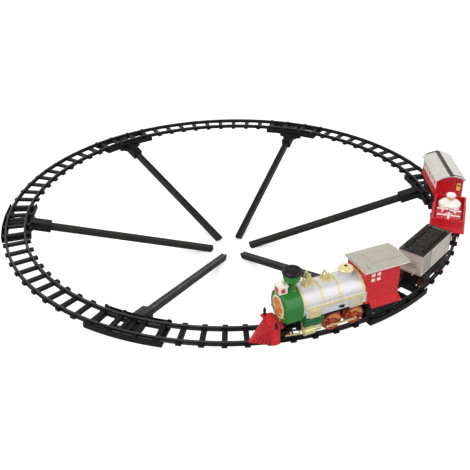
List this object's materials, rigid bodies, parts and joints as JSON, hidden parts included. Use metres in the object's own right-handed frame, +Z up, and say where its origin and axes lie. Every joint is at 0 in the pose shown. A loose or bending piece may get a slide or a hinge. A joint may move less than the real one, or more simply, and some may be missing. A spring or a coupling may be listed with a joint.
{
  "type": "model train",
  "caption": "A toy steam train with a tender, an open wagon and a coach on a round ladder track, which brackets and sloping arms hold round a tree trunk",
  "frame": {"origin": "centre of the track ring, on the axis of the tree trunk, at the height of the rail tops", "axes": "+Z up; +X through ring angle 0 and +Y through ring angle 90 degrees; the train runs clockwise seen from above"},
  "size_m": [0.9205, 0.9249, 0.235],
  "materials": {
    "track_black": "injection-moulded, satin black",
    "arm_grey": "dark grey enamel on a square section",
    "bolt_steel": "plain slotted screws",
    "frame_black": "moulded black",
    "body_red": "glossy red",
    "smokebox_green": "glossy green",
    "chest_green": "glossy dark green",
    "door_orange": "orange with a cream rim",
    "lamp_cream": "cream",
    "lens_red": "translucent-looking red",
    "cap_black": "black",
    "boiler_silver": "pearl silver",
    "trim_gold": "pale gold",
    "cab_roof_beige": "warm grey",
    "motor_steel": "small direct-current motor can",
    "gear_white": "natural moulded gears",
    "cell_blue": "plain sleeve, no lettering",
    "driver_orange": "orange-red wheels with gold balance weights",
    "wheel_red": "dark red",
    "tender_silver": "pinkish silver",
    "coal_black": "near-black heaped coal",
    "bundle_white": "hollow-moulded bundle and parcels",
    "coach_roof_grey": "light grey"
  },
  "bodies": {
    "track": {"track_section_1": "track_black", "track_section_2": "track_black", "track_section_3": "track_black", "track_section_4": "track_black", "track_section_5": "track_black", "track_section_6": "track_black", "track_bracket_1": "track_black", "track_bracket_2": "track_black", "track_bracket_3": "track_black", "track_bracket_4": "track_black", "track_bracket_5": "track_black", "track_bracket_6": "track_black", "support_arm_1": "arm_grey", "support_arm_2": "arm_grey", "support_arm_3": "arm_grey", "support_arm_4": "arm_grey", "support_arm_5": "arm_grey", "support_arm_6": "arm_grey", "arm_bolts": "bolt_steel"},
    "loco": {"loco_chassis": "frame_black", "cowcatcher": "body_red", "smokebox": "smokebox_green", "smokebox_door": "door_orange", "headlamp": "lamp_cream", "headlamp_lens": "lens_red", "chimney": "smokebox_green", "chimney_cap": "cap_black", "boiler": "boiler_silver", "boiler_trim": "trim_gold", "steam_dome": "boiler_silver", "steam_chests": "chest_green", "cylinders": "trim_gold", "cab": "body_red", "cab_roof": "cab_roof_beige", "motor": "motor_steel", "batteries": "cell_blue", "pilot_truck": "trim_gold"},
    "tender": {"tender_body": "tender_silver", "coal_load": "coal_black", "tender_chassis": "frame_black"},
    "gift_wagon": {"gift_wagon_body": "body_red", "gift_load": "bundle_white", "gift_wagon_chassis": "frame_black"},
    "coach": {"coach_body": "body_red", "coach_roof": "coach_roof_grey", "coach_chassis": "frame_black"},
    "switch": {"power_switch": "frame_black"},
    "rod_left": {"coupling_rod_left": "trim_gold"},
    "rod_right": {"coupling_rod_right": "trim_gold"},
    "driver_front": {"driver_wheelset_front": "driver_orange"},
    "driver_rear": {"driver_wheelset_rear": "driver_orange"},
    "pilot_wheels": {"pilot_wheelset": "wheel_red"},
    "idler": {"idler_gear": "gear_white"},
    "motor_shaft": {"motor_pinion": "gear_white"},
    "tender_front_wheels": {"tender_wheelset_front": "wheel_red"},
    "tender_rear_wheels": {"tender_wheelset_rear": "wheel_red"},
    "gift_front_wheels": {"gift_wheelset_front": "wheel_red"},
    "gift_rear_wheels": {"gift_wheelset_rear": "wheel_red"},
    "coach_front_wheels": {"coach_wheelset_front": "wheel_red"},
    "coach_rear_wheels": {"coach_wheelset_rear": "wheel_red"}
  },
  "joints": [
    {"name": "loco_orbit", "type": "hinge", "parent": "track", "child": "loco", "pos_m": [0, 0, 0], "axis": [0, 0, 1], "continuous": true},
    {"name": "tender_orbit", "type": "hinge", "parent": "track", "child": "tender", "pos_m": [0, 0, 0], "axis": [0, 0, 1], "continuous": true},
    {"name": "gift_wagon_orbit", "type": "hinge", "parent": "track", "child": "gift_wagon", "pos_m": [0, 0, 0], "axis": [0, 0, 1], "continuous": true},
    {"name": "coach_orbit", "type": "hinge", "parent": "track", "child": "coach", "pos_m": [0, 0, 0], "axis": [0, 0, 1], "continuous": true},
    {"name": "driver_front_spin", "type": "hinge", "parent": "loco", "child": "driver_front", "pos_m": [0.14883, -0.40626, 0.01615], "axis": [0.3955, -0.9184, 0], "continuous": true},
    {"name": "driver_rear_spin", "type": "hinge", "parent": "loco", "child": "driver_rear", "pos_m": [0.18465, -0.39084, 0.01615], "axis": [0.3955, -0.9184, 0], "continuous": true},
    {"name": "pilot_wheels_spin", "type": "hinge", "parent": "loco", "child": "pilot_wheels", "pos_m": [0.08246, -0.42406, 0.00815], "axis": [0.1909, -0.9816, 0], "continuous": true},
    {"name": "idler_spin", "type": "hinge", "parent": "loco", "child": "idler", "pos_m": [0.18465, -0.39084, 0.0383], "axis": [0.3955, -0.9184, 0], "continuous": true},
    {"name": "motor_shaft_spin", "type": "hinge", "parent": "loco", "child": "motor_shaft", "pos_m": [0.17724, -0.39403, 0.05229], "axis": [0.3955, -0.9184, 0], "continuous": true},
    {"name": "tender_front_wheels_spin", "type": "hinge", "parent": "tender", "child": "tender_front_wheels", "pos_m": [0.31031, -0.30185, 0.01215], "axis": [0.7604, -0.6494, 0], "continuous": true},
    {"name": "tender_rear_wheels_spin", "type": "hinge", "parent": "tender", "child": "tender_rear_wheels", "pos_m": [0.34668, -0.25927, 0.01215], "axis": [0.7604, -0.6494, 0], "continuous": true},
    {"name": "gift_front_wheels_spin", "type": "hinge", "parent": "gift_wagon", "child": "gift_front_wheels", "pos_m": [0.40079, -0.16363, 0.01215], "axis": [0.9483, -0.3173, 0], "continuous": true},
    {"name": "gift_rear_wheels_spin", "type": "hinge", "parent": "gift_wagon", "child": "gift_rear_wheels", "pos_m": [0.41856, -0.11052, 0.01215], "axis": [0.9483, -0.3173, 0], "continuous": true},
    {"name": "coach_front_wheels_spin", "type": "hinge", "parent": "coach", "child": "coach_front_wheels", "pos_m": [0.43185, -0.03026, 0.01215], "axis": [1, -0.0052, 0], "continuous": true},
    {"name": "coach_rear_wheels_spin", "type": "hinge", "parent": "coach", "child": "coach_rear_wheels", "pos_m": [0.43214, 0.02574, 0.01215], "axis": [1, -0.0052, 0], "continuous": true},
    {"name": "rod_left_pivot", "type": "hinge", "parent": "driver_rear", "child": "rod_left", "pos_m": [0.18077, -0.39251, 0.01769], "axis": [0.3955, -0.9184, 0], "continuous": true},
    {"name": "rod_right_pivot", "type": "hinge", "parent": "driver_rear", "child": "rod_right", "pos_m": [0.18324, -0.39144, 0.01192], "axis": [0.3955, -0.9184, 0], "continuous": true},
    {"name": "switch_slide", "type": "slide", "parent": "loco", "child": "switch", "axis": [-0.9184, -0.3955, 0], "range_m": [0, 0.004]}
  ],
  "couplings": [
    {"joint": "tender_orbit", "follows": "loco_orbit", "ratio": 1},
    {"joint": "gift_wagon_orbit", "follows": "loco_orbit", "ratio": 1},
    {"joint": "coach_orbit", "follows": "loco_orbit", "ratio": 1},
    {"joint": "driver_front_spin", "follows": "loco_orbit", "ratio": -27},
    {"joint": "driver_rear_spin", "follows": "loco_orbit", "ratio": -27},
    {"joint": "pilot_wheels_spin", "follows": "loco_orbit", "ratio": -54},
    {"joint": "idler_spin", "follows": "loco_orbit", "ratio": 22.5},
    {"joint": "motor_shaft_spin", "follows": "loco_orbit", "ratio": -67.5},
    {"joint": "tender_front_wheels_spin", "follows": "loco_orbit", "ratio": -36},
    {"joint": "tender_rear_wheels_spin", "follows": "loco_orbit", "ratio": -36},
    {"joint": "gift_front_wheels_spin", "follows": "loco_orbit", "ratio": -36},
    {"joint": "gift_rear_wheels_spin", "follows": "loco_orbit", "ratio": -36},
    {"joint": "coach_front_wheels_spin", "follows": "loco_orbit", "ratio": -36},
    {"joint": "coach_rear_wheels_spin", "follows": "loco_orbit", "ratio": -36},
    {"joint": "rod_left_pivot", "follows": "loco_orbit", "ratio": 27},
    {"joint": "rod_right_pivot", "follows": "loco_orbit", "ratio": 27}
  ]
}
